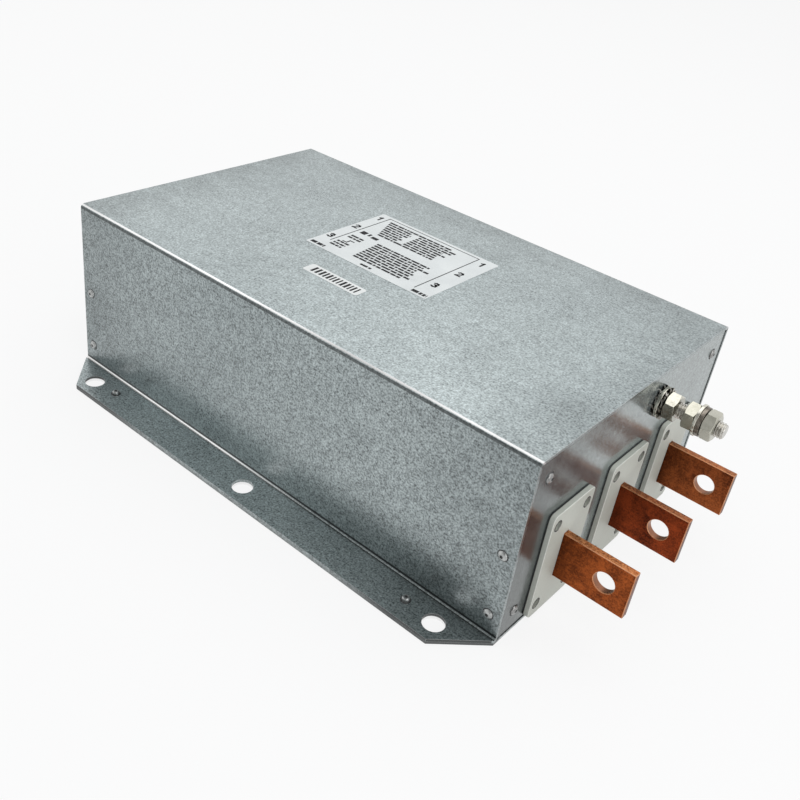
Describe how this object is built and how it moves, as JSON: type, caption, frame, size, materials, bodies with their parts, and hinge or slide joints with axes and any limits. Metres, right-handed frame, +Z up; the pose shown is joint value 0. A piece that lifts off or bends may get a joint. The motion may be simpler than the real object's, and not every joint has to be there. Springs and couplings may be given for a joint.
{
  "type": "emi line filter",
  "caption": "Three-phase EMI line filter in a folded galvanised case with mounting flanges, copper busbar terminals through insulating plates, and an earth stud on each end wall.",
  "frame": {"origin": "middle of the underside of the base plate", "axes": "+X along the case towards the load terminals, +Y across the case towards the side where the earth studs lie off centre, +Z up through the top sheet"},
  "size_m": [0.377, 0.225, 0.1001],
  "materials": {
    "galvanised_cover": "hot-dip galvanised sheet, fine spangle, satin",
    "galvanised_base": "hot-dip galvanised sheet, fine spangle, satin",
    "galvanised_end": "galvanised sheet, smooth and a little glossy",
    "rivet_steel": "plain steel blind rivet",
    "copper_bar": "bare copper, mottled, satin",
    "insulating_plate": "pale insulating laminate, matt",
    "earth_bolt_steel": "nickel-plated steel",
    "plated_nut": "nickel-plated steel, bright",
    "plated_steel": "nickel-plated steel, bright",
    "label_film": "printed label film, satin",
    "insulating_sheet": "insulating sheet, matt",
    "core_coating": "epoxy-coated core",
    "liner_plastic": "moulded insulating plastic",
    "board_laminate": "board laminate with varnish",
    "x_capacitor_case": "moulded capacitor case",
    "y_capacitor_case": "moulded capacitor case",
    "resistor_ceramic": "ceramic resistor body",
    "brass_lug": "brass strip"
  },
  "bodies": {
    "root": {"cover": "galvanised_cover", "base_plate": "galvanised_base", "end_wall_load": "galvanised_end", "end_wall_line": "galvanised_end", "corner_angles": "galvanised_base", "side_rivets": "rivet_steel", "end_wall_rivets": "rivet_steel", "flange_rivets": "rivet_steel", "busbar_1": "copper_bar", "busbar_2": "copper_bar", "busbar_3": "copper_bar", "terminal_plate_load_1": "insulating_plate", "terminal_plate_load_2": "insulating_plate", "terminal_plate_load_3": "insulating_plate", "terminal_plate_line_1": "insulating_plate", "terminal_plate_line_2": "insulating_plate", "terminal_plate_line_3": "insulating_plate", "plate_rivets_load": "rivet_steel", "plate_rivets_line": "rivet_steel", "earth_bolt_load": "earth_bolt_steel", "earth_nuts_load": "plated_nut", "earth_flat_washers_load": "plated_steel", "earth_toothed_washers_load": "plated_steel", "earth_spring_washer_load": "plated_steel", "earth_bolt_line": "earth_bolt_steel", "earth_nuts_line": "plated_nut", "earth_flat_washers_line": "plated_steel", "earth_toothed_washers_line": "plated_steel", "earth_spring_washer_line": "plated_steel", "rating_label": "label_film", "serial_label": "label_film", "insulation_sheet": "insulating_sheet", "choke_core_load": "core_coating", "choke_core_line": "core_coating", "core_liner_load": "liner_plastic", "core_liner_line": "liner_plastic", "board_load": "board_laminate", "board_line": "board_laminate", "x_capacitors_load": "x_capacitor_case", "x_capacitors_line": "x_capacitor_case", "y_capacitors_load": "y_capacitor_case", "y_capacitors_line": "y_capacitor_case", "discharge_resistors_load": "resistor_ceramic", "discharge_resistors_line": "resistor_ceramic", "tap_lugs_load": "brass_lug", "tap_lugs_line": "brass_lug", "earth_strap_load": "plated_steel", "earth_strap_line": "plated_steel", "tap_screws_load": "plated_steel", "tap_screws_line": "plated_steel", "tap_nuts_load": "plated_steel", "tap_nuts_line": "plated_steel"}
  },
  "joints": []
}
